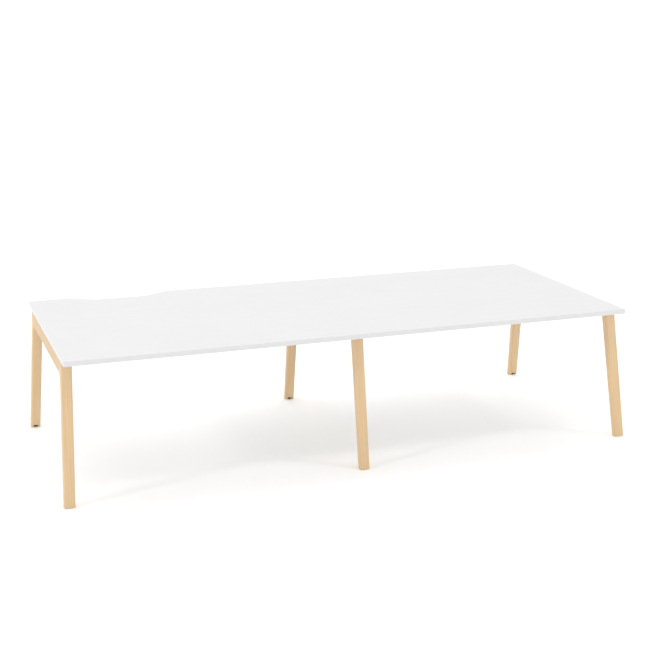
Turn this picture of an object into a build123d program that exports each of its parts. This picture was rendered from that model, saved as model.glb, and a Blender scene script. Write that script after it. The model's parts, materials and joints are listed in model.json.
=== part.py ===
"""Double-length meeting table: two white tops on three splayed solid-wood portal frames.

X runs along the table, Y from the front edge to the back edge and Z up. The origin is on the floor
under the middle of the table. All sizes are in millimetres.
"""

import os
from math import cos, isclose, radians, sin, tan

from build123d import *

# Tops
table_length = 3080.0
table_depth = 1300.0
table_height = 740.0
top_thickness = 25.0
edging_thickness = 2.0
edging_round = 0.6
top_corner_radius = 4.0
seam_gap = 0.2

# Cable scallop in the back edge of the left top, one third of the way along it
scallop_mouth = 560.0
scallop_floor = 286.0
scallop_depth = 82.0
scallop_mouth_radius = 60.0
scallop_floor_radius = 90.0

# Portal frames
frame_thickness = 55.0
frame_gap = 4.0
end_frame_inset = 30.5
end_frame_tilt = 2.84
rail_height = 38.0
lip_heights = {-1: 76.0, 1: 60.0}
lip_thickness = 12.0
leg_splay = 9.7
leg_inset = 133.0
leg_top_width = 60.0
leg_foot_width = 43.0
outward_edge_radius = 8.0
leg_edge_radius = 13.5
rail_edge_radius = 5.0
outer_corner_radius = 20.0
inner_corner_radius = 4.0
lip_corner_radius = 45.0
dowel_diameter = 12.0
dowel_length = 44.0
dowel_spacing = 24.0

# Levelling feet
foot_clearance = 3.0
pocket_width = 26.0
pocket_height = 10.0
pad_diameter = 23.0
pad_height = 7.5
pad_chamfer = 1.0
socket_floor = 2.3
neck_diameter = 9.0
collar_across_flats = 14.0
foot_thread = 8.0
foot_thread_length = 30.0
running_clearance = 0.05
face_clearance = 0.2
foot_insert_length = 25.0
foot_flange_diameter = 20.0
foot_flange_thickness = 1.5

# Steel beams and their bolts
beam_width = 30.0
beam_height = 40.0
beam_wall = 2.0
beam_offset = 300.0
beam_corner_radius = 4.0
plate_width = 92.0
plate_height = 38.0
plate_thickness = 5.0
plate_corner_radius = 6.0
bolt_diameter = 8.0
bolt_hole = 9.0
bolt_spacing = 64.0
bolt_length = 28.0
bolt_head_flats = 13.0
bolt_head_height = 5.3
washer_diameter = 17.0
washer_thickness = 1.6
insert_diameter = 12.0
insert_length = 24.0

# Fixings under the tops
top_screw_pitch = 560.0
top_screw_diameter = 5.0
top_screw_bite = 17.0
top_screw_head = 10.0
top_screw_head_height = 3.0
access_hole = 13.0
seam_plate_length = 130.0
seam_plate_width = 50.0
seam_plate_thickness = 3.0
seam_plate_pitch = 400.0
seam_screw_pitch_x = 96.0
seam_screw_pitch_y = 28.0
seam_screw_diameter = 4.0
seam_screw_bite = 14.0
seam_screw_head = 8.0
pad_disc_diameter = 24.0
end_pad_pitch = 380.0
middle_pad_pitch = 400.0

# Worked out from the sizes above
half_frame = frame_thickness / 2
underside = table_height - top_thickness
frame_top = underside - frame_gap
frame_inset_x = table_length / 2 - end_frame_inset
leg_drop = frame_top
leg_top_u = table_depth / 2 - leg_inset
beam_floor = underside - beam_height
pocket_ceiling = foot_clearance + pocket_height
collar_foot = pad_height + face_clearance
collar_top = pocket_ceiling - face_clearance
scallop_centre = -table_length / 3
seam_plate_rows = [-seam_plate_pitch, 0, seam_plate_pitch]
side_names = {-1: "left", 0: "middle", 1: "right"}
row_names = {-1: "front", 1: "back"}

os.makedirs("parts", exist_ok=True)


def save(builder, name):
    """Labels a finished piece and writes it."""
    builder.part.label = name
    export_step(builder.part, f"parts/{name}.step")


# --- Where things are ---


def frame_plane(side, depth=0.0):
    """The mid-plane of a portal frame, or a plane beside it.

    Local X is the table's Y, and local Y is up the frame.
    """
    tilt = radians(end_frame_tilt)
    middle = Plane(
        origin=(side * frame_inset_x, 0, frame_top),
        x_dir=(0, 1, 0),
        z_dir=(cos(tilt * side), 0, sin(tilt * side)),
    )
    return middle.offset(depth)


def foot_location(side, row):
    """The point on the floor under a leg's levelling foot."""
    slant = leg_drop / cos(radians(end_frame_tilt * side))
    x = side * (frame_inset_x + leg_drop * tan(radians(end_frame_tilt)))
    y = row * (leg_top_u + slant * tan(radians(leg_splay)))
    return x, y


def beam_faces(bay):
    """The two rail faces that a bay's beams are bolted to, as planes that look into the bay."""
    for side, way in ((bay, -bay), (0, bay)):
        face = frame_plane(side, way * half_frame)
        yield side, Plane(origin=face.origin, x_dir=face.x_dir * way, z_dir=face.z_dir * way)


def plate_centre(face, row):
    """The middle of a beam's end plate, in the coordinates of the rail face that it is bolted to."""
    return row * beam_offset * face.x_dir.Y, -rail_height / 2


def bolt_points(face, row):
    u, w = plate_centre(face, row)
    return [(u - bolt_spacing / 2, w), (u + bolt_spacing / 2, w)]


def bay_centre(bay):
    return bay * table_length / 4


def top_screw_points(bay):
    """Where one bay's top is screwed to its two beams."""
    columns = [bay_centre(bay) + step * top_screw_pitch for step in (-1, 0, 1)]
    return [(x, row * beam_offset) for row in (-1, 1) for x in columns]


def seam_screw_points(bay):
    """Where one bay's top is screwed to the seam plates."""
    x = bay * seam_screw_pitch_x / 2
    return [(x, y + way * seam_screw_pitch_y / 2) for y in seam_plate_rows for way in (-1, 1)]


# --- Tops ---


def is_scallop_corner(vertex, y):
    """Whether a vertex of the left top's outline is one of the scallop's corners at this distance back."""
    in_scallop = abs(vertex.X - scallop_centre) < scallop_mouth
    return in_scallop and isclose(vertex.Y, y, abs_tol=running_clearance)


def top_outline(bay, inset):
    """One top's outline, drawn in by inset all round; the left top has the cable scallop.

    The two corners at the table's end are rounded, and the two at the seam are square.
    """
    free_end = slice(-2, None) if bay > 0 else slice(2)
    length = table_length / 2 - seam_gap / 2
    centre = bay * (seam_gap / 2 + length / 2)
    back = table_depth / 2
    with BuildSketch() as outline:
        with Locations((centre, 0)):
            Rectangle(length, table_depth)
        fillet(outline.vertices().sort_by(Axis.X)[free_end], radius=top_corner_radius)
        if bay < 0:
            with Locations((scallop_centre, back)):
                half_mouth = scallop_mouth / 2
                half_floor = scallop_floor / 2
                Polygon(
                    (-half_mouth, 0),
                    (-half_floor, -scallop_depth),
                    (half_floor, -scallop_depth),
                    (half_mouth, 0),
                    align=None,
                    mode=Mode.SUBTRACT,
                )
            floor_y = back - scallop_depth
            for y, radius in ((floor_y, scallop_floor_radius), (back, scallop_mouth_radius)):
                corners = [v for v in outline.vertices() if is_scallop_corner(v, y)]
                fillet(corners, radius=radius)
        if inset:
            offset(amount=-inset, kind=Kind.INTERSECTION, mode=Mode.REPLACE)
    return outline.sketch


def make_top(bay):
    """A top's board with its screw holes, and the edging glued round it."""
    with BuildPart() as panel:
        with BuildSketch(Plane.XY.offset(underside)):
            add(top_outline(bay, edging_thickness))
        extrude(amount=top_thickness)
        for points, diameter, bite in (
            (top_screw_points(bay), top_screw_diameter, top_screw_bite),
            (seam_screw_points(bay), seam_screw_diameter, seam_screw_bite),
        ):
            with BuildSketch(Plane.XY.offset(underside)):
                with Locations(*points):
                    Circle(diameter / 2)
            extrude(amount=bite, mode=Mode.SUBTRACT)
    save(panel, f"{side_names[bay]}_top_panel")

    with BuildPart() as edging:
        with BuildSketch(Plane.XY.offset(underside)):
            add(top_outline(bay, 0))
        extrude(amount=top_thickness)
        outer = edging.faces().filter_by(Axis.Z).edges()
        fillet(outer, radius=edging_round)
        with BuildSketch(Plane.XY.offset(underside)):
            add(top_outline(bay, edging_thickness))
        extrude(amount=top_thickness, mode=Mode.SUBTRACT)
    save(edging, f"{side_names[bay]}_top_edging")


# --- Portal frames ---


def leg_edge(offset_top, offset_foot, height):
    """How far out a leg's face is, in its frame's plane, at a height measured up from the frame's top."""
    foot_u = leg_top_u + leg_drop * tan(radians(leg_splay))
    share = -height / leg_drop
    return (leg_top_u + offset_top) * (1 - share) + (foot_u + offset_foot) * share


def outer_u(height):
    return leg_edge(leg_top_width / 2, leg_foot_width / 2, height)


def inner_u(height):
    return leg_edge(-leg_top_width / 2, -leg_foot_width / 2, height)


def opening(height, end, corner_radius):
    """The space between a frame's legs up to a height, in the frame's coordinates."""
    half = [(inner_u(-height), -height), (inner_u(end), end)]
    mirrored = [(-u, w) for u, w in reversed(half)]
    with BuildSketch() as space:
        Polygon(*mirrored, *half, align=None)
        fillet(space.vertices().group_by(Axis.Y)[-1], radius=corner_radius)
    return space.sketch


def outline_of_portal(top, end):
    half = [(outer_u(end), end), (outer_u(top), top)]
    mirrored = [(-u, w) for u, w in reversed(half)]
    with BuildSketch() as outline:
        Polygon(*half, *mirrored, align=None)
        fillet(outline.vertices().group_by(Axis.Y)[-1], radius=outer_corner_radius)
    return outline.sketch


def make_portal(side, inward_radius):
    """A whole portal with its long edges rounded, before it is parted at the mitres.

    The rail of an end frame has a thin lip at its outward face that hangs lower than the rest of the rail.
    """
    frame = frame_plane(side)
    crown = half_frame * sin(radians(end_frame_tilt)) * abs(side)
    end = -leg_drop - foot_clearance
    rail_opening = (rail_height, end, inner_corner_radius)
    whole_opening = (lip_heights[side], end, lip_corner_radius) if side else rail_opening
    with BuildPart() as portal:
        with BuildSketch(frame):
            add(outline_of_portal(crown, end))
            add(opening(*whole_opening), mode=Mode.SUBTRACT)
        extrude(amount=half_frame, both=True)
        if side:
            with BuildSketch(frame_plane(side, -side * half_frame)):
                add(opening(*rail_opening))
            extrude(amount=side * (frame_thickness - lip_thickness), mode=Mode.SUBTRACT)
        for way, which in ((-1, 0), (1, -1)):
            broad_face = portal.faces().sort_by(Axis(frame.origin, frame.z_dir))[which]
            long_edges = [e for e in broad_face.edges() if e.center().Z > foot_clearance]
            fillet(long_edges, radius=outward_edge_radius if way == side else inward_radius)
        split(bisect_by=Plane.XY.offset(frame_top), keep=Keep.BOTTOM)
        split(bisect_by=Plane.XY.offset(foot_clearance), keep=Keep.TOP)
    return portal.part


def mitre_plane(side, row):
    """The joint between a leg and the rail, with its normal pointing to the leg."""
    frame = frame_plane(side)
    inner = frame.from_local_coords((row * inner_u(-rail_height), -rail_height, 0))
    outer = frame.from_local_coords((row * outer_u(0), 0, 0))
    along = outer - inner
    across = frame.z_dir.cross(along) * -row
    return Plane(origin=(inner + outer) / 2, x_dir=along, z_dir=across)


def make_dowels(side, row):
    """The two dowels of one mitre, which lie side by side along the rail."""
    frame = frame_plane(side)
    section = Plane(origin=mitre_plane(side, row).origin, x_dir=frame.z_dir, z_dir=frame.x_dir)
    with BuildPart() as dowels:
        with BuildSketch(section):
            with Locations((-dowel_spacing / 2, 0), (dowel_spacing / 2, 0)):
                Circle(dowel_diameter / 2)
        extrude(amount=dowel_length / 2, both=True)
    return dowels.part


def make_rail(side, portal, dowels):
    with BuildPart() as rail:
        add(portal)
        for row in row_names:
            split(bisect_by=mitre_plane(side, row), keep=Keep.BOTTOM)
            add(dowels[side, row], mode=Mode.SUBTRACT)
        for bay in (-1, 1):
            for face_side, face in beam_faces(bay):
                if face_side == side:
                    with BuildSketch(face):
                        with Locations(*bolt_points(face, -1), *bolt_points(face, 1)):
                            Circle(insert_diameter / 2)
                    extrude(amount=-insert_length, mode=Mode.SUBTRACT)
    save(rail, f"{side_names[side]}_frame_rail")


def make_leg(side, row, portal, dowels):
    """A leg with its dowel holes, the pocket that holds its foot and the bore for the threaded insert."""
    x, y = foot_location(side, row)
    with BuildPart() as leg:
        add(portal)
        split(bisect_by=mitre_plane(side, row), keep=Keep.TOP)
        add(dowels[side, row], mode=Mode.SUBTRACT)
        with BuildSketch(Plane.XY.offset(foot_clearance)):
            with Locations((x, y)):
                Circle(pocket_width / 2)
            with Locations((x, y - row * pocket_width)):
                Rectangle(pocket_width, 2 * pocket_width)
        extrude(amount=pocket_height, mode=Mode.SUBTRACT)
        with BuildSketch(Plane.XY.offset(pocket_ceiling)):
            with Locations((x, y)):
                Circle(foot_flange_diameter / 2)
        extrude(amount=foot_flange_thickness, mode=Mode.SUBTRACT)
        with BuildSketch(Plane.XY.offset(pocket_ceiling)):
            with Locations((x, y)):
                Circle(insert_diameter / 2)
        extrude(amount=foot_thread_length + foot_flange_thickness, mode=Mode.SUBTRACT)
    save(leg, f"{side_names[side]}_frame_{row_names[row]}_leg")


# --- Levelling feet ---


def make_foot_inserts():
    """The flanged threaded sleeve in the bottom of each leg."""
    with BuildPart() as inserts:
        for side in side_names:
            for row in row_names:
                with BuildSketch(Plane.XY.offset(pocket_ceiling)):
                    with Locations(foot_location(side, row)):
                        Circle(insert_diameter / 2)
                        Circle(foot_thread / 2 + running_clearance, mode=Mode.SUBTRACT)
                extrude(amount=foot_insert_length)
                with BuildSketch(Plane.XY.offset(pocket_ceiling)):
                    with Locations(foot_location(side, row)):
                        Circle(foot_flange_diameter / 2)
                        Circle(foot_thread / 2 + running_clearance, mode=Mode.SUBTRACT)
                extrude(amount=foot_flange_thickness)
    save(inserts, "foot_inserts")


def make_foot(side, row):
    """A foot's round pad, and the screw that turns in it and in the leg's insert."""
    place = foot_location(side, row)
    name = f"{side_names[side]}_{row_names[row]}_foot"
    with BuildPart() as pad:
        with BuildSketch():
            with Locations(place):
                Circle(pad_diameter / 2)
        extrude(amount=pad_height)
        chamfer(pad.edges().filter_by(GeomType.CIRCLE), length=pad_chamfer)
        with BuildSketch(Plane.XY.offset(socket_floor)):
            with Locations(place):
                Circle(neck_diameter / 2 + running_clearance)
        extrude(amount=pad_height, mode=Mode.SUBTRACT)
    save(pad, f"{name}_pad")

    with BuildPart() as screw:
        with BuildSketch(Plane.XY.offset(socket_floor + face_clearance)):
            with Locations(place):
                Circle(neck_diameter / 2)
        extrude(amount=collar_foot - socket_floor - face_clearance)
        with BuildSketch(Plane.XY.offset(collar_foot)):
            with Locations(place):
                RegularPolygon(collar_across_flats / 2, 6, major_radius=False)
        extrude(amount=collar_top - collar_foot)
        with BuildSketch(Plane.XY.offset(collar_top)):
            with Locations(place):
                Circle(foot_thread / 2)
        extrude(amount=foot_thread_length)
        chamfer(screw.edges().sort_by(Axis.Z)[-1], length=pad_chamfer)
    save(screw, f"{name}_screw")


# --- Beams and their fixings ---


def make_beam(bay, row):
    """A rectangular steel tube with an end plate welded on each end."""
    faces = dict(beam_faces(bay))
    tube_plane = Plane(origin=faces[0].origin, x_dir=(0, bay, 0), z_dir=(bay, 0, 0))
    tube_centre = (row * bay * beam_offset, underside - frame_top - beam_height / 2)
    bore_size = (beam_width - 2 * beam_wall, beam_height - 2 * beam_wall)
    own_screws = [point for point in top_screw_points(bay) if point[1] * row > 0]
    with BuildPart() as beam:
        with BuildSketch(tube_plane):
            with Locations(tube_centre):
                RectangleRounded(beam_width, beam_height, beam_corner_radius)
                RectangleRounded(*bore_size, beam_corner_radius - beam_wall, mode=Mode.SUBTRACT)
        extrude(amount=table_length / 2)
        split(bisect_by=faces[bay], keep=Keep.TOP)
        for height, diameter in ((beam_floor, access_hole), (underside - beam_wall, top_screw_diameter)):
            with BuildSketch(Plane.XY.offset(height)):
                with Locations(*own_screws):
                    Circle(diameter / 2)
            extrude(amount=beam_wall, mode=Mode.SUBTRACT)
        for face in faces.values():
            with BuildSketch(face):
                with Locations(plate_centre(face, row)):
                    RectangleRounded(plate_width, plate_height, plate_corner_radius)
                with Locations(*bolt_points(face, row)):
                    Circle(bolt_hole / 2, mode=Mode.SUBTRACT)
            extrude(amount=plate_thickness)
    save(beam, f"{row_names[row]}_{side_names[bay]}_beam")


def bolted_faces():
    """Every rail face that beams are bolted to, with the centres of its four bolts."""
    for bay in (-1, 1):
        for _, face in beam_faces(bay):
            yield face, bolt_points(face, -1) + bolt_points(face, 1)


def make_beam_fixings():
    """The inserts in the rails, and the washers and hexagon bolts that hold the end plates to them."""
    washer_seat = plate_thickness
    head_seat = plate_thickness + washer_thickness
    with BuildPart() as inserts:
        for face, points in bolted_faces():
            with BuildSketch(face):
                with Locations(*points):
                    Circle(insert_diameter / 2)
                    Circle(bolt_diameter / 2, mode=Mode.SUBTRACT)
            extrude(amount=-insert_length)
    save(inserts, "beam_inserts")

    with BuildPart() as washers:
        for face, points in bolted_faces():
            with BuildSketch(face.offset(washer_seat)):
                with Locations(*points):
                    Circle(washer_diameter / 2)
                    Circle(bolt_diameter / 2, mode=Mode.SUBTRACT)
            extrude(amount=washer_thickness)
    save(washers, "beam_washers")

    with BuildPart() as bolts:
        for face, points in bolted_faces():
            with BuildSketch(face.offset(head_seat)):
                with Locations(*points):
                    RegularPolygon(bolt_head_flats / 2, 6, major_radius=False)
            extrude(amount=bolt_head_height)
            with BuildSketch(face.offset(head_seat)):
                with Locations(*points):
                    Circle(bolt_diameter / 2)
            extrude(amount=-bolt_length)
    save(bolts, "beam_bolts")


def make_top_screws():
    """Pan-head screws that go up through the beams' top walls into the boards."""
    seat = underside - beam_wall
    points = top_screw_points(-1) + top_screw_points(1)
    with BuildPart() as screws:
        with BuildSketch(Plane.XY.offset(seat)):
            with Locations(*points):
                Circle(top_screw_head / 2)
        extrude(amount=-top_screw_head_height)
        with BuildSketch(Plane.XY.offset(seat)):
            with Locations(*points):
                Circle(top_screw_diameter / 2)
        extrude(amount=beam_wall + top_screw_bite)
    save(screws, "top_screws")


def make_seam_plates():
    """Flat plates over the middle rail that hold the two tops level with each other, and their screws."""
    points = seam_screw_points(-1) + seam_screw_points(1)
    lower_face = underside - seam_plate_thickness
    head_depth = (seam_screw_head - seam_screw_diameter) / 2
    head_cone = (seam_screw_head / 2, seam_screw_diameter / 2, head_depth)
    on_base = (Align.CENTER, Align.CENTER, Align.MIN)
    with BuildPart() as plates:
        with BuildSketch(Plane.XY.offset(lower_face)):
            with Locations(*[(0, y) for y in seam_plate_rows]):
                RectangleRounded(seam_plate_length, seam_plate_width, plate_corner_radius)
            with Locations(*points):
                Circle(seam_screw_diameter / 2, mode=Mode.SUBTRACT)
        extrude(amount=seam_plate_thickness)
        with Locations(*[(x, y, lower_face) for x, y in points]):
            Cone(*head_cone, align=on_base, mode=Mode.SUBTRACT)
    save(plates, "seam_plates")

    with BuildPart() as screws:
        with Locations(*[(x, y, lower_face) for x, y in points]):
            Cone(*head_cone, align=on_base)
            Cylinder(seam_screw_diameter / 2, seam_plate_thickness + seam_screw_bite, align=on_base)
    save(screws, "seam_plate_screws")


def make_rail_pads():
    """Rubber discs in the narrow gap between the rails and the tops."""
    end_points = [(side * frame_inset_x, step * end_pad_pitch) for side in (-1, 1) for step in (-1, 0, 1)]
    middle_points = [(0, step * middle_pad_pitch / 2) for step in (-1, 1)]
    with BuildPart() as pads:
        with BuildSketch(Plane.XY.offset(frame_top)):
            with Locations(*end_points, *middle_points):
                Circle(pad_disc_diameter / 2)
        extrude(amount=frame_gap)
    save(pads, "rail_pads")


def make_frames():
    """The three portals, each parted into a rail and two legs, with the dowels of all six mitres."""
    dowels = {(side, row): make_dowels(side, row) for side in side_names for row in row_names}
    for side in side_names:
        make_rail(side, make_portal(side, rail_edge_radius), dowels)
        leg_portal = make_portal(side, leg_edge_radius)
        for row in row_names:
            make_leg(side, row, leg_portal, dowels)
            make_foot(side, row)
    with BuildPart() as all_dowels:
        add(list(dowels.values()))
    save(all_dowels, "corner_dowels")


for bay_side in (-1, 1):
    make_top(bay_side)
    for beam_row in row_names:
        make_beam(bay_side, beam_row)
make_frames()
make_foot_inserts()
make_beam_fixings()
make_top_screws()
make_seam_plates()
make_rail_pads()
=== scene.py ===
"""Looks of the double-length meeting table, in a plain white studio.

Melamine tops stand on pale hardwood portal frames. Most pieces are the CAD model's own with better
materials. The bolts, the screws in tops and plates, and the foot screws are replaced by detailed ones, and
the weld beads are added. Lengths are in metres and angles in degrees.
"""

import json
from math import cos, pi, radians, sin, tan, tau

import bmesh
import bpy
import numpy as np
from mathutils import Euler, Matrix, Vector


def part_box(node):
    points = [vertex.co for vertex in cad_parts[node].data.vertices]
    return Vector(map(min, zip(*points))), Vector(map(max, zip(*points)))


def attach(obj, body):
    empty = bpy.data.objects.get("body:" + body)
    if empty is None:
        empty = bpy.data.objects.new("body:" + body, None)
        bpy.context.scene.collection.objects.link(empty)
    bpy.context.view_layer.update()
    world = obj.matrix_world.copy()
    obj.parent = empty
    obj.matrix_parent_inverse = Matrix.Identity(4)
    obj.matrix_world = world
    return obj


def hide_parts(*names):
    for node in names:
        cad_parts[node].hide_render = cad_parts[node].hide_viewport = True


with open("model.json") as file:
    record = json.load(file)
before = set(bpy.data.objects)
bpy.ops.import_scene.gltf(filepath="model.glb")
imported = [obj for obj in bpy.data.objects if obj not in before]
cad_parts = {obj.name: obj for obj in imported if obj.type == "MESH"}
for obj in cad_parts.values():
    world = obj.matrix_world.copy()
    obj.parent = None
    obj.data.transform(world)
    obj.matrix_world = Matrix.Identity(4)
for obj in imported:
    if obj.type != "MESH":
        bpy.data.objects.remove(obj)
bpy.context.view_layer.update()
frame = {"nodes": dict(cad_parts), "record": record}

MM = 0.001

SIDES = ("left", "middle", "right")
ROWS = ("front", "back")


# --- Nodes ---


def add_node(tree, kind, inputs=None, **settings):
    """Adds a node, sets its properties, and sets or links its inputs."""
    made = tree.nodes.new(kind)
    for key, value in settings.items():
        setattr(made, key, value)
    for key, value in (inputs or {}).items():
        if isinstance(value, bpy.types.NodeSocket):
            tree.links.new(value, made.inputs[key])
        else:
            made.inputs[key].default_value = value
    return made


def blank_material(name, **shader_inputs):
    """A material with only its Principled shader, whose constant inputs are set here."""
    material = bpy.data.materials.new(name)
    material.use_nodes = True
    tree = material.node_tree
    tree.nodes.clear()
    shader = add_node(tree, "ShaderNodeBsdfPrincipled")
    output = add_node(tree, "ShaderNodeOutputMaterial")
    tree.links.new(shader.outputs["BSDF"], output.inputs["Surface"])
    for key, value in shader_inputs.items():
        shader.inputs[key].default_value = value
    return material, tree, shader


def place_coordinates(tree, rotation=(0, 0, 0), shift=(0, 0, 0)):
    """Coordinates in metres in the object's own frame, turned and then moved."""
    where = add_node(tree, "ShaderNodeTexCoord").outputs["Object"]
    inputs = {"Vector": where, "Rotation": rotation, "Location": shift}
    return add_node(tree, "ShaderNodeMapping", inputs).outputs["Vector"]


def stretched(tree, vector, stretch):
    """Coordinates multiplied by three factors, so a larger factor makes a pattern finer along that axis."""
    inputs = {0: vector, 1: stretch}
    return add_node(tree, "ShaderNodeVectorMath", inputs, operation="MULTIPLY").outputs["Vector"]


def noise(tree, vector, scale, detail, roughness=0.5):
    """A noise from 0 to 1, with that many features a metre."""
    inputs = {"Vector": vector, "Scale": scale, "Detail": detail, "Roughness": roughness}
    return add_node(tree, "ShaderNodeTexNoise", inputs).outputs["Fac"]


def calculate(tree, operation, first, second=0.0):
    return add_node(tree, "ShaderNodeMath", {0: first, 1: second}, operation=operation).outputs["Value"]


def remap(tree, value, from_low, from_high, to_low, to_high):
    """A value moved from one range to another, and held inside it."""
    inputs = {"Value": value, "From Min": from_low, "From Max": from_high, "To Min": to_low, "To Max": to_high}
    return add_node(tree, "ShaderNodeMapRange", inputs).outputs["Result"]


def mix_colours(tree, factor, first, second):
    """The first colour where the factor is 0 and the second where it is 1."""
    made = add_node(tree, "ShaderNodeMix", data_type="RGBA")
    factor_socket, first_socket, second_socket = made.inputs[0], made.inputs[6], made.inputs[7]
    for socket, value in ((factor_socket, factor), (first_socket, first), (second_socket, second)):
        if isinstance(value, bpy.types.NodeSocket):
            tree.links.new(value, socket)
        else:
            socket.default_value = value
    return made.outputs[2]


def two_tones(tree, pattern, low, high, first, second, most=1.0):
    """A colour that goes from the first towards the second as a pattern rises from low to high."""
    return mix_colours(tree, remap(tree, pattern, low, high, 0.0, most), first, second)


def colour_and_gloss(tree, shader, tone, roughness):
    tree.links.new(tone, shader.inputs["Base Color"])
    tree.links.new(roughness, shader.inputs["Roughness"])


def bump(tree, shader, height, depth, strength, under=None):
    """A bump of that depth in metres, on top of another bump if one is given."""
    inputs = {"Height": height, "Distance": depth, "Strength": strength}
    if under is not None:
        inputs["Normal"] = under
    made = add_node(tree, "ShaderNodeBump", inputs).outputs["Normal"]
    tree.links.new(made, shader.inputs["Normal"])
    return made


# --- Finishes ---

# Nearly all values of a noise lie between these two.
NOISE_RANGE = (0.3, 0.7)

WOOD_PALE = (0.753, 0.548, 0.321)
WOOD_WARM = (0.657, 0.443, 0.235)
WOOD_BROWN = (0.52, 0.31, 0.15)
WOOD_LIGHT = (0.811, 0.623, 0.401)
# The growth rings: their width, how far they wander, where in each the late wood is darkest, and its strength.
RING_WIDTH = 4.5 * MM
RING_WANDER = 12.0 * MM
RING_PEAK = 0.86
RING_END_SHADE = 0.25
RING_CONTRAST = 0.26


def rgb(red, green, blue):
    return (red, green, blue, 1.0)


def hardwood(name, along, seed, shade=1.0):
    """Pale lacquered hardwood with straight grain along one direction: rings, fibres and short flecks.

    The rings' centre lies far outside every piece, so they pass through it as nearly flat layers. The seed
    moves the pattern, so no two pieces show the same grain.
    """
    material, tree, shader = blank_material(name)
    draw = np.random.default_rng(seed)
    turn = Vector(along).to_track_quat("Z", "Y").inverted().to_euler()
    shift = Vector((draw.uniform(0.06, 0.12), draw.uniform(-0.05, 0.05), draw.uniform(-1, 1)))
    place = place_coordinates(tree, turn, shift)

    wander = noise(tree, stretched(tree, place, (9, 9, 1.6)), 1.0, 2.0)
    flat = stretched(tree, place, (1, 1, 0))
    distance = add_node(tree, "ShaderNodeVectorMath", {0: flat}, operation="LENGTH").outputs["Value"]
    bent = calculate(tree, "ADD", distance, calculate(tree, "MULTIPLY", wander, RING_WANDER))
    ring = calculate(tree, "FRACT", calculate(tree, "MULTIPLY", bent, 1 / RING_WIDTH))
    ramp = add_node(tree, "ShaderNodeValToRGB", {"Fac": ring})
    stops = ramp.color_ramp.elements
    stops[0].position, stops[0].color = 0.0, rgb(0, 0, 0)
    stops[1].position, stops[1].color = 1.0, rgb(RING_END_SHADE, RING_END_SHADE, RING_END_SHADE)
    stops.new(RING_PEAK).color = rgb(1, 1, 1)
    late_wood = ramp.outputs["Color"]

    fibres = noise(tree, stretched(tree, place, (900, 900, 14)), 1.0, 3.0, 0.6)
    streaks = noise(tree, stretched(tree, place, (110, 110, 2.2)), 1.0, 2.0)
    patches = noise(tree, stretched(tree, place, (14, 14, 3)), 1.0, 1.0)
    flecks = noise(tree, stretched(tree, place, (700, 2200, 160)), 1.0, 1.0)

    wood_colours = (WOOD_PALE, WOOD_WARM, WOOD_BROWN, WOOD_LIGHT)
    pale, warm, brown, light = (rgb(*[shade * part for part in colour]) for colour in wood_colours)
    tone = two_tones(tree, streaks, *NOISE_RANGE, pale, warm, most=0.62)
    tone = mix_colours(tree, calculate(tree, "MULTIPLY", late_wood, RING_CONTRAST), tone, warm)
    tone = two_tones(tree, fibres, 0.45, 0.8, tone, warm, most=0.30)
    tone = two_tones(tree, flecks, 0.66, 0.78, tone, brown, most=0.22)
    tone = two_tones(tree, patches, *NOISE_RANGE, tone, light, most=0.14)
    colour_and_gloss(tree, shader, tone, remap(tree, fibres, *NOISE_RANGE, 0.42, 0.56))
    grain = bump(tree, shader, fibres, 0.06 * MM, 0.5)
    bump(tree, shader, late_wood, 0.04 * MM, 0.4, under=grain)
    return material


def melamine():
    """Satin white faced board with a fine pearl texture."""
    material, tree, shader = blank_material("white_melamine")
    place = place_coordinates(tree)
    pearl = noise(tree, place, 900, 2.0)
    broad = noise(tree, place, 3.5, 2.0)
    tone = two_tones(tree, broad, *NOISE_RANGE, rgb(0.704, 0.704, 0.706), rgb(0.716, 0.716, 0.715))
    handled = noise(tree, place, 11, 3.0)
    wide_gloss = remap(tree, handled, *NOISE_RANGE, 0.36, 0.44)
    fine_gloss = remap(tree, pearl, *NOISE_RANGE, -0.03, 0.03)
    colour_and_gloss(tree, shader, tone, calculate(tree, "ADD", wide_gloss, fine_gloss))
    bump(tree, shader, pearl, 0.03 * MM, 0.35)
    return material


def edging_plastic():
    """White plastic edging with faint trimming marks along its length."""
    material, tree, shader = blank_material("white_edging_plastic")
    place = place_coordinates(tree)
    marks = noise(tree, stretched(tree, place, (4, 4, 700)), 1.0, 2.0)
    speckle = noise(tree, place, 1400, 1.0)
    tone = two_tones(tree, marks, *NOISE_RANGE, rgb(0.704, 0.704, 0.706), rgb(0.725, 0.725, 0.723))
    colour_and_gloss(tree, shader, tone, remap(tree, speckle, *NOISE_RANGE, 0.34, 0.46))
    bump(tree, shader, marks, 0.02 * MM, 0.4)
    return material


def powder_coat():
    """White powder coat with a fine orange-peel surface."""
    material, tree, shader = blank_material("white_powder_coat")
    place = place_coordinates(tree)
    peel = noise(tree, place, 620, 2.0)
    dust = noise(tree, place, 7, 3.0)
    tone = two_tones(tree, dust, 0.35, 0.75, rgb(0.780, 0.780, 0.770), rgb(0.745, 0.742, 0.730))
    colour_and_gloss(tree, shader, tone, remap(tree, peel, *NOISE_RANGE, 0.40, 0.55))
    bump(tree, shader, peel, 0.08 * MM, 0.5)
    return material


def zinc_plate():
    """Bright zinc plating, with the clouded tint and fine scratches of passivated steel."""
    material, tree, shader = blank_material("zinc_plate", Metallic=1.0)
    place = place_coordinates(tree)
    clouds = noise(tree, place, 60, 3.0)
    scratches = noise(tree, stretched(tree, place, (300, 2600, 900)), 1.0, 2.0)
    tone = two_tones(tree, clouds, 0.35, 0.7, rgb(0.66, 0.68, 0.70), rgb(0.60, 0.59, 0.55))
    colour_and_gloss(tree, shader, tone, remap(tree, scratches, *NOISE_RANGE, 0.24, 0.42))
    bump(tree, shader, scratches, 0.02 * MM, 0.4)
    return material


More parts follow.
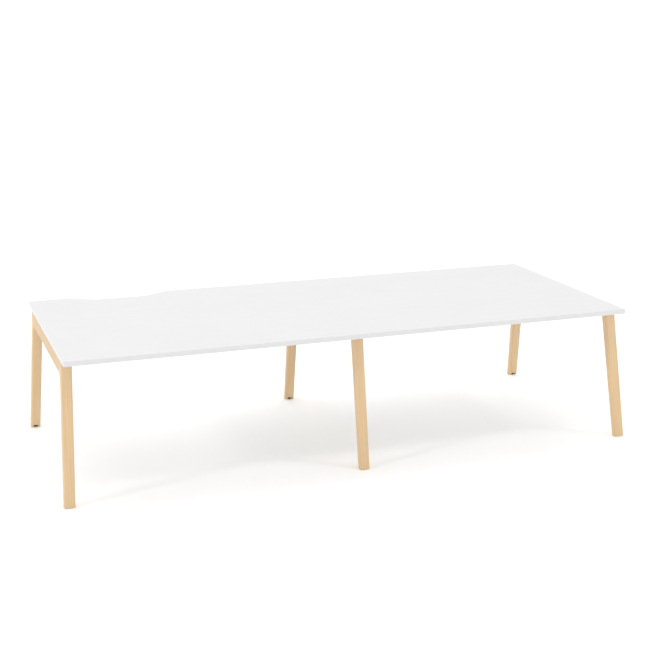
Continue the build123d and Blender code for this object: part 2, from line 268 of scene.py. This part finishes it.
def black_nylon():
    """Moulded black nylon with a fine spark-eroded texture and small paler scuffs."""
    material, tree, shader = blank_material("black_nylon", **{"Specular IOR Level": 0.2})
    place = place_coordinates(tree)
    texture = noise(tree, place, 2400, 2.0)
    scuffs = noise(tree, place, 240, 4.0, 0.7)
    tone = two_tones(tree, scuffs, 0.55, 0.8, rgb(0.004, 0.004, 0.004), rgb(0.018, 0.018, 0.017), most=0.7)
    colour_and_gloss(tree, shader, tone, remap(tree, scuffs, *NOISE_RANGE, 0.42, 0.66))
    bump(tree, shader, texture, 0.03 * MM, 0.6)
    return material


def black_steel():
    """Oiled black oxide on turned steel."""
    material, tree, shader = blank_material("black_oxide_steel", Metallic=1.0)
    place = place_coordinates(tree)
    clouds = noise(tree, place, 180, 3.0)
    turning = noise(tree, stretched(tree, place, (40, 40, 4200)), 1.0, 1.0)
    tone = two_tones(tree, clouds, 0.35, 0.7, rgb(0.035, 0.035, 0.038), rgb(0.085, 0.082, 0.078))
    colour_and_gloss(tree, shader, tone, remap(tree, turning, *NOISE_RANGE, 0.30, 0.48))
    bump(tree, shader, turning, 0.02 * MM, 0.4)
    return material


def grey_rubber():
    """Matt moulded rubber with a bloom of pale dust."""
    material, tree, shader = blank_material("grey_rubber")
    place = place_coordinates(tree)
    bloom = noise(tree, place, 90, 4.0, 0.65)
    skin = noise(tree, place, 1800, 2.0)
    tone = two_tones(tree, bloom, 0.4, 0.75, rgb(0.055, 0.055, 0.055), rgb(0.12, 0.118, 0.112))
    colour_and_gloss(tree, shader, tone, remap(tree, bloom, *NOISE_RANGE, 0.72, 0.9))
    bump(tree, shader, skin, 0.04 * MM, 0.5)
    return material


def studio_floor():
    """Seamless white floor of the studio that glows a little, like a light table: painted light that lifts the
    shadow under the table.
    """
    plain = {
        "Roughness": 0.9,
        "Specular IOR Level": 0.0,
        "Emission Color": rgb(1, 1, 1),
        "Emission Strength": FLOOR_GLOW,
    }
    material, tree, shader = blank_material("studio_white", **plain)
    place = place_coordinates(tree)
    faint = noise(tree, place, 0.8, 2.0)
    tone = two_tones(tree, faint, *NOISE_RANGE, rgb(0.955, 0.952, 0.948), rgb(0.96, 0.957, 0.953))
    tree.links.new(tone, shader.inputs["Base Color"])
    return material


# --- CAD nodes that keep their shape ---

# The rails are coloured a little darker than the legs, to match how much darker they look.
RAIL_SHADE = 0.9
SEEDS_PER_FRAME = 10
DOWEL_SEED = 99


def paint(node, material):
    """Gives a CAD node one material in place of those that it came with."""
    slots = frame["nodes"][node].data.materials
    slots.clear()
    slots.append(material)


def long_direction(node):
    """The direction of a node's greatest length, from its vertices."""
    points = np.array([v.co for v in frame["nodes"][node].data.vertices])
    centred = points - points.mean(axis=0)
    values, vectors = np.linalg.eigh(centred.T @ centred)
    return Vector(vectors[:, np.argmax(values)])


def paint_frames():
    """Gives each rail and leg its own wood, with the grain along it."""
    for number, side in enumerate(SIDES):
        names = [f"{side}_frame_rail", *[f"{side}_frame_{row}_leg" for row in ROWS]]
        for step, node in enumerate(names):
            seed = SEEDS_PER_FRAME * number + step
            shade = RAIL_SHADE if node.endswith("rail") else 1.0
            paint(node, hardwood(f"hardwood_{node}", long_direction(node), seed, shade))


def paint_rest(finishes):
    """Gives every other node the finish of its material slot in the record."""
    for part in frame["record"]["subparts"]:
        slot = part["material_slot"]
        if slot in finishes:
            paint(part["node"], finishes[slot])


def make_finishes():
    """The finishes that several pieces share, by the record's material slots."""
    return {
        "white_board": melamine(),
        "white_edging": edging_plastic(),
        "powder_coated_steel": powder_coat(),
        "zinc_plated_steel": zinc_plate(),
        "black_nylon": black_nylon(),
        "blackened_steel": black_steel(),
        "grey_rubber": grey_rubber(),
        "dowel_hardwood": hardwood("hardwood_dowels", (0, 1, 0), DOWEL_SEED),
    }


# --- Pieces that carry more detail than their CAD nodes ---

# The foot screws and the beam bolts are all M8.
M8_THREAD = 8.0 * MM
M8_PITCH = 1.25 * MM
THREAD_DEPTH = 0.55 * MM
THREAD_STEPS_PER_TURN = 6
# The circle that the chamfer leaves on a hexagon's face, as a share of its width across flats.
CHAMFER_SHARE = 0.95
CHAMFER_ANGLE = 30

FOOT_THREAD_LENGTH = 30.0 * MM
COLLAR_FLATS = 14.0 * MM
COLLAR_HEIGHT = 4.9 * MM
NECK = 9.0 * MM
NECK_BEVEL = 0.5 * MM

BOLT_FLATS = 13.0 * MM
BOLT_HEAD = 5.3 * MM
BOLT_DISH = 0.35 * MM
BOLT_DISH_SHARE = 0.62

# Width and height of the head, and the shank's diameter.
PAN_HEAD = (10.0 * MM, 3.0 * MM, 5.0 * MM)
SUNK_HEAD = (8.0 * MM, 2.0 * MM, 4.0 * MM)
# The rounding of a pan head, as radius and height in shares of the head's, from its outer face to its seat.
PAN_RIM_SHARE = 0.72
PAN_ROUNDING = ((0.93, 0.25), (1.0, 0.6))
# The driver recess: its size and depth in shares of the head's, and how it widens from floor to mouth.
RECESS_SHARE = 0.42
RECESS_DEPTH_SHARE = 0.62
RECESS_FLOOR_TAPER = 0.9
RECESS_MOUTH_FLARE = 1.06
RECESS_MOUTH = 0.1 * MM
LOBE_HEIGHT = 0.16
SCREW_TIP_LENGTH = 2.0 * MM
SCREW_TIP_RADIUS = 0.3 * MM

FACET_COUNT = 72
BOLT_FACET_COUNT = 36
SHARP_ANGLE = 32
SAME_POINT = 0.001 * MM

TUBE_WIDTH, TUBE_HEIGHT = 30.0 * MM, 40.0 * MM
TUBE_CORNER = 4.0 * MM
RAIL_TOP = 711.0 * MM
HALF_RAIL = 27.5 * MM
END_PLATE = 5.0 * MM
END_FRAME_INSET = 30.5 * MM
END_FRAME_TILT = 2.84

BEAD_SEED = 7
BEAD_RADIUS = 2.0 * MM
BEAD_LIFT = 0.6 * MM
BEAD_STEP = 0.8 * MM
BEAD_CORNER_STEPS = 48
BEAD_SECTIONS = 8
RIPPLE_HEIGHT = 0.10
RIPPLE_RATE = 0.9
RIPPLE_SPREAD = 0.04


def round_shape(angle):
    """The outline of a circle."""
    return 1.0


def hexagon(angle):
    """How much further out a hexagon is than the circle inside it."""
    return 1 / cos(angle % (pi / 3) - pi / 6)


def lobes(angle):
    """The outline of a six-lobed driver recess."""
    return 1 + LOBE_HEIGHT * cos(6 * angle)


def turned(loops, count=FACET_COUNT):
    """A closed mesh through loops round the Z axis, as points and faces.

    Each loop is a shape, a radius and a height. The shape is a function of the angle, as the height may be.
    """
    points, faces = [], []
    for shape, radius, height in loops:
        for step in range(count):
            angle = tau * step / count
            out = radius * shape(angle)
            z = height(angle) if callable(height) else height
            points.append((out * cos(angle), out * sin(angle), z))
    for level in range(len(loops) - 1):
        for step in range(count):
            first, second = level * count + step, level * count + (step + 1) % count
            faces.append((first, second, second + count, first + count))
    faces.append(tuple(reversed(range(count))))
    faces.append(tuple(range((len(loops) - 1) * count, len(loops) * count)))
    return points, faces


def thread(diameter, pitch, depth, low, high):
    """The loops of a screw thread that fades out over a turn at each of its ends."""
    rows = round((high - low) / pitch * THREAD_STEPS_PER_TURN)
    for row in range(rows + 1):
        height = low + (high - low) * row / rows
        fade = min(1.0, row / THREAD_STEPS_PER_TURN, (rows - row) / THREAD_STEPS_PER_TURN)

        def shape(angle, height=height, fade=fade):
            phase = (height / pitch - angle / tau) % 1.0
            crest = abs(2 * phase - 1)
            return 1 - fade * (1 - crest) * 2 * depth / diameter

        yield shape, diameter / 2, height


def hexagon_loops(flats, low, high, chamfered_foot=False):
    """The loops of a hexagon from its lower to its upper face, with the corners turned off at an angle."""
    inner = CHAMFER_SHARE * flats / 2

    def fall(angle):
        return (hexagon(angle) * flats / 2 - inner) * tan(radians(CHAMFER_ANGLE))

    if chamfered_foot:
        yield round_shape, inner, low
        yield hexagon, flats / 2, lambda angle: low + fall(angle)
    else:
        yield hexagon, flats / 2, low
    yield hexagon, flats / 2, lambda angle: high - fall(angle)
    yield round_shape, inner, high


def face_outwards(mesh):
    """Turns all faces of closed solids outwards."""
    work = bmesh.new()
    work.from_mesh(mesh)
    bmesh.ops.recalc_face_normals(work, faces=work.faces)
    work.to_mesh(mesh)
    work.free()


def join_meshes(name, solids, body, node, material):
    """One piece of several closed meshes, each with its place. It stands for a CAD node if one is named."""
    points, faces = [], []
    for place, (own_points, own_faces) in solids:
        start = len(points)
        points += [place @ Vector(p) for p in own_points]
        faces += [tuple(start + index for index in face) for face in own_faces]
    mesh = bpy.data.meshes.new(name)
    mesh.from_pydata(points, [], faces)
    face_outwards(mesh)
    mesh.materials.append(material)
    mesh.shade_smooth()
    mesh.set_sharp_from_angle(angle=radians(SHARP_ANGLE))
    piece = bpy.data.objects.new(name, mesh)
    bpy.context.scene.collection.objects.link(piece)
    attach(piece, body)
    if node:
        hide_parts(node)


def separate_solids(node):
    """The vertices of each separate solid of a CAD node, in the order of its mesh."""
    work = bmesh.new()
    work.from_mesh(frame["nodes"][node].data)
    bmesh.ops.remove_doubles(work, verts=work.verts, dist=SAME_POINT)
    seen = set()
    solids = []
    for first in work.verts:
        if first in seen:
            continue
        seen.add(first)
        found, waiting = [], [first]
        while waiting:
            vertex = waiting.pop()
            found.append(vertex.co.copy())
            for edge in vertex.link_edges:
                other = edge.other_vert(vertex)
                if other not in seen:
                    seen.add(other)
                    waiting.append(other)
        solids.append(np.array(found))
    work.free()
    return solids


def upright_place(low, high):
    """The matrix that takes the Z axis to the middle of a box."""
    return Matrix.Translation(((low[0] + high[0]) / 2, (low[1] + high[1]) / 2, 0))


def foot_screw(material, node):
    """A foot's screw: snap-in neck, hexagonal collar and rolled thread."""
    low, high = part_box(node)
    collar_top = high[2] - FOOT_THREAD_LENGTH
    collar_foot = collar_top - COLLAR_HEIGHT
    loops = [
        (round_shape, NECK / 2 - NECK_BEVEL, low[2]),
        (round_shape, NECK / 2, low[2] + NECK_BEVEL),
        (round_shape, NECK / 2, collar_foot),
        *hexagon_loops(COLLAR_FLATS, collar_foot, collar_top, chamfered_foot=True),
        (round_shape, M8_THREAD / 2, collar_top),
        *thread(M8_THREAD, M8_PITCH, THREAD_DEPTH, collar_top + MM, high[2] - MM),
        (round_shape, M8_THREAD / 2 - MM, high[2]),
    ]
    solids = [(upright_place(low, high), turned(loops))]
    join_meshes(f"{node}_threaded", solids, node, node, material)


def bolt_places():
    """For each beam bolt, its place and its whole length.

    The place takes the Z axis to the bolt's, with the origin under the head and the head above it.
    """
    for points in separate_solids("beam_bolts"):
        centre = (points.min(axis=0) + points.max(axis=0)) / 2
        values, vectors = np.linalg.eigh(np.cov((points - centre).T))
        along = vectors[:, np.argmax(values)]
        reach = (points - centre) @ along
        spread = np.linalg.norm((points - centre) - np.outer(reach, along), axis=1)
        head_is_behind = spread[reach > 0].max() < spread[reach < 0].max()
        if head_is_behind:
            along, reach = -along, -reach
        direction = Vector(along)
        seat = Vector(centre) + direction * (reach.max() - BOLT_HEAD)
        turn = direction.to_track_quat("Z", "Y").to_matrix().to_4x4()
        yield Matrix.Translation(seat) @ turn, reach.max() - reach.min()


def beam_bolts(material):
    """The hexagon bolts that hold the beams' end plates, threaded up to the head."""
    solids = []
    for place, length in bolt_places():
        tip = BOLT_HEAD - length
        loops = [
            (round_shape, M8_THREAD / 2 - MM, tip),
            *thread(M8_THREAD, M8_PITCH, THREAD_DEPTH, tip + MM, -MM),
            (round_shape, M8_THREAD / 2, 0),
            *hexagon_loops(BOLT_FLATS, 0, BOLT_HEAD),
            (round_shape, BOLT_DISH_SHARE * BOLT_FLATS / 2, BOLT_HEAD - BOLT_DISH),
        ]
        solids.append((place, turned(loops, BOLT_FACET_COUNT)))
    join_meshes("beam_bolts_detailed", solids, "table", "beam_bolts", material)


def driven_screws(node, head, sunk, material):
    """Wood screws that point up, with a six-lobed recess in the head."""
    head_size, head_height, shank = head
    radius = head_size / 2
    recess = RECESS_SHARE * radius
    solids = []
    for points in separate_solids(node):
        low, high = points.min(axis=0), points.max(axis=0)
        face, seat = low[2], low[2] + head_height
        loops = [
            (lobes, RECESS_FLOOR_TAPER * recess, face + RECESS_DEPTH_SHARE * head_height),
            (lobes, recess, face + RECESS_MOUTH),
            (lobes, RECESS_MOUTH_FLARE * recess, face),
        ]
        if sunk:
            loops += [(round_shape, radius, face)]
        else:
            loops += [(round_shape, PAN_RIM_SHARE * radius, face)]
            loops += [(round_shape, out * radius, face + up * head_height) for out, up in PAN_ROUNDING]
            loops += [(round_shape, radius, seat)]
        loops += [(round_shape, shank / 2, seat), (round_shape, shank / 2, high[2] - SCREW_TIP_LENGTH)]
        loops += [(round_shape, SCREW_TIP_RADIUS, high[2])]
        solids.append((upright_place(low, high), turned(loops)))
    join_meshes(f"{node}_detailed", solids, "table", node, material)


def tube_outline(count):
    """Points round a beam's tube, each with the direction out of it, from the middle of a side wall."""
    half_width, half_height = TUBE_WIDTH / 2 - TUBE_CORNER, TUBE_HEIGHT / 2 - TUBE_CORNER
    for step in range(count):
        angle = tau * step / count
        out = (cos(angle), sin(angle))
        corner = (np.sign(round(out[0], 6)) * half_width, np.sign(round(out[1], 6)) * half_height)
        yield (corner[0] + TUBE_CORNER * out[0], corner[1] + TUBE_CORNER * out[1]), out


def bead_path():
    """The line of a weld bead round a tube in short steps, each a point and the direction out of the tube."""
    outline = list(tube_outline(BEAD_CORNER_STEPS))
    for index, (place, out) in enumerate(outline):
        next_place, next_out = outline[(index + 1) % len(outline)]
        gap = ((next_place[0] - place[0]) ** 2 + (next_place[1] - place[1]) ** 2) ** 0.5
        parts = max(1, round(gap / BEAD_STEP))
        for part in range(parts):
            share = part / parts
            where = [a + (b - a) * share for a, b in zip(place, next_place)]
            lean = Vector([a + (b - a) * share for a, b in zip(out, next_out)]).normalized()
            yield where, lean


def ring_faces(total):
    """The faces of a closed ring of sections."""
    for index in range(total):
        here, following = index * BEAD_SECTIONS, (index + 1) % total * BEAD_SECTIONS
        for section in range(BEAD_SECTIONS):
            beside = (section + 1) % BEAD_SECTIONS
            yield here + section, here + beside, following + beside, following + section


def weld_bead(side, way, row_place, tube_middle, draw):
    """A rippled bead round a tube where it meets its end plate, as a closed ring.

    The side is -1, 0 or 1 for the left, middle or right frame, and way is the face of its rail, -1 or 1.
    """
    tilt = radians(END_FRAME_TILT * side)
    normal = Vector((cos(tilt), 0, sin(tilt)))
    rail_x = side * (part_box("right_top_edging")[1][0] - END_FRAME_INSET)
    origin = Vector((rail_x, 0, RAIL_TOP)) + normal * way * (HALF_RAIL + END_PLATE + BEAD_LIFT)
    path = list(bead_path())
    points = []
    for index, (where, lean) in enumerate(path):
        spread = draw.uniform(-RIPPLE_SPREAD, RIPPLE_SPREAD)
        reach = BEAD_RADIUS * (1 + RIPPLE_HEIGHT * abs(sin(index * RIPPLE_RATE)) + spread)
        y, z = row_place + where[0], tube_middle + where[1]
        x = origin.x - normal.z * (z - origin.z) / normal.x
        middle = Vector((x, y, z))
        outward = Vector((0, lean[0], lean[1]))
        for section in range(BEAD_SECTIONS):
            angle = tau * section / BEAD_SECTIONS
            points.append(middle + outward * reach * cos(angle) + normal * way * reach * sin(angle))
    return points, list(ring_faces(len(path)))


def weld_beads(material):
    """The beads at both ends of the four beams."""
    draw = np.random.default_rng(BEAD_SEED)
    solids = []
    for bay, bay_name in ((-1, "left"), (1, "right")):
        for row in ROWS:
            low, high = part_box(f"{row}_{bay_name}_beam")
            row_place = (low[1] + high[1]) / 2
            tube_middle = high[2] - TUBE_HEIGHT / 2
            for side, way in ((bay, -bay), (0, bay)):
                solids.append((Matrix(), weld_bead(side, way, row_place, tube_middle, draw)))
    join_meshes("beam_weld_beads", solids, "table", None, material)


# --- Studio ---

LENS_MM = 70.53
SENSOR_MM = 36.0
CAMERA_PLACE = (-2.3245, -6.5140, 2.4369)
CAMERA_PITCH = 14.67
CAMERA_YAW = 19.715
CAMERA_CLIP_END = 200
FLOOR_REACH = 60.0
# How much the floor glows: painted light that brightens the shadow under the table and lights it from below.
FLOOR_GLOW = 0.097
# The world as a light, and as the camera sees it behind the floor.
SKY_STRENGTH = 0.902
BACKDROP_STRENGTH = 1.05
# The direction that each light comes from, its strength and its width in degrees.
SOFT_LIGHTS = {
    "overhead_light": ((0, 0.6, 1), 0.775, 60),
    "left_light": ((-1.105, -0.232, 0.715), 0.342, 7),
    "right_light": ((0.480, -0.280, 0.715), 0.205, 7),
}


def make_camera():
    """The camera at the photograph's viewing angle."""
    data = bpy.data.cameras.new("camera")
    data.lens = LENS_MM
    data.sensor_width = SENSOR_MM
    data.clip_end = CAMERA_CLIP_END
    camera = bpy.data.objects.new("camera", data)
    camera.location = CAMERA_PLACE
    camera.rotation_euler = Euler((radians(90 - CAMERA_PITCH), 0, radians(-CAMERA_YAW)))
    bpy.context.scene.collection.objects.link(camera)
    bpy.context.scene.camera = camera


def make_sun(name, towards, strength, spread):
    """A soft distant light that comes from a direction."""
    data = bpy.data.lights.new(name, "SUN")
    data.energy = strength
    data.angle = radians(spread)
    lamp = bpy.data.objects.new(name, data)
    lamp.rotation_mode = "QUATERNION"
    lamp.rotation_quaternion = Vector(towards).to_track_quat("Z", "Y")
    bpy.context.scene.collection.objects.link(lamp)


def make_world():
    """Even white light from all round, a little brighter to the camera than it is as a light."""
    world = bpy.data.worlds.new("studio")
    world.use_nodes = True
    tree = world.node_tree
    sky = tree.nodes["Background"]
    sky.inputs["Color"].default_value = rgb(1, 1, 1)
    seen = add_node(tree, "ShaderNodeLightPath").outputs["Is Camera Ray"]
    strength = remap(tree, seen, 0.0, 1.0, SKY_STRENGTH, BACKDROP_STRENGTH)
    tree.links.new(strength, sky.inputs["Strength"])
    bpy.context.scene.world = world


def make_floor():
    """A floor that runs into the white behind it."""
    floor_mesh = bpy.data.meshes.new("floor")
    corners = [(x * FLOOR_REACH, y * FLOOR_REACH, 0) for x, y in ((-1, -1), (1, -1), (1, 1), (-1, 1))]
    floor_mesh.from_pydata(corners, [], [(0, 1, 2, 3)])
    floor_mesh.materials.append(studio_floor())
    floor = bpy.data.objects.new("floor", floor_mesh)
    bpy.context.scene.collection.objects.link(floor)


def make_studio():
    """Soft light from all round, three soft lamps and a floor, shown in plain sRGB."""
    make_world()
    for name, (towards, strength, spread) in SOFT_LIGHTS.items():
        make_sun(name, towards, strength, spread)
    make_floor()
    bpy.context.scene.view_settings.view_transform = "Standard"


make_camera()
make_studio()
paint_frames()
finishes = make_finishes()
paint_rest(finishes)
for side_name in SIDES:
    for row_name in ROWS:
        foot_screw(finishes["blackened_steel"], f"{side_name}_{row_name}_foot_screw")
beam_bolts(finishes["zinc_plated_steel"])
driven_screws("top_screws", PAN_HEAD, False, finishes["zinc_plated_steel"])
driven_screws("seam_plate_screws", SUNK_HEAD, True, finishes["zinc_plated_steel"])
weld_beads(finishes["powder_coated_steel"])
